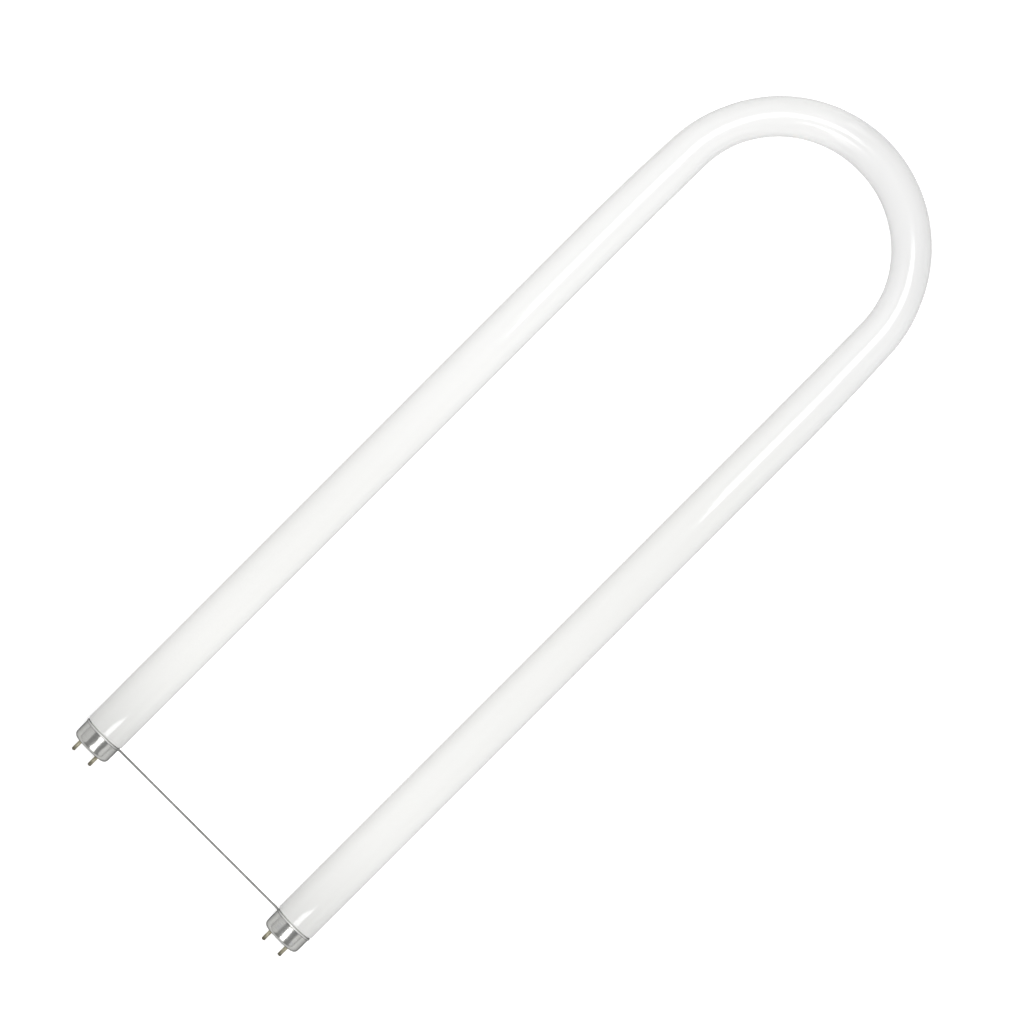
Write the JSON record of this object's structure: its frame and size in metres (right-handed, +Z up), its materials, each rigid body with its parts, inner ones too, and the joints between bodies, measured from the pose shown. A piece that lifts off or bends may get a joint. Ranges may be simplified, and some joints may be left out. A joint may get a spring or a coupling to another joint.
{
  "type": "u-bent fluorescent lamp",
  "caption": "U-bent fluorescent tube lamp: white coated glass bent back on itself, a bi-pin metal base on each end and a thin wire spacer between the bases.",
  "frame": {"origin": "on the surface that the lamp lies on, halfway along it and halfway between its legs", "axes": "+X along the legs from the bases to the bend, +Y across the legs, +Z up out of the plane of the U"},
  "size_m": [0.5715, 0.178, 0.0256],
  "materials": {
    "phosphor_coated_glass": "milky white, phosphor coated inside, glossy outside",
    "aluminium_shell": "satin, deep drawn",
    "moulded_phenolic": "matt brown moulding",
    "pin_brass": "dull, tarnished at the tips",
    "basing_cement": "matt, grainy",
    "lead_wire": "drawn, tinned",
    "spacer_steel": "drawn, dull grey"
  },
  "bodies": {
    "root": {"glass_tube": "phosphor_coated_glass", "spacer_wire": "spacer_steel", "base_shell_left": "aluminium_shell", "base_insulator_left": "moulded_phenolic", "basing_cement_left": "basing_cement", "contact_pin_left_outer": "pin_brass", "lead_wire_left_outer": "lead_wire", "contact_pin_left_inner": "pin_brass", "lead_wire_left_inner": "lead_wire", "base_shell_right": "aluminium_shell", "base_insulator_right": "moulded_phenolic", "basing_cement_right": "basing_cement", "contact_pin_right_outer": "pin_brass", "lead_wire_right_outer": "lead_wire", "contact_pin_right_inner": "pin_brass", "lead_wire_right_inner": "lead_wire"}
  },
  "joints": []
}
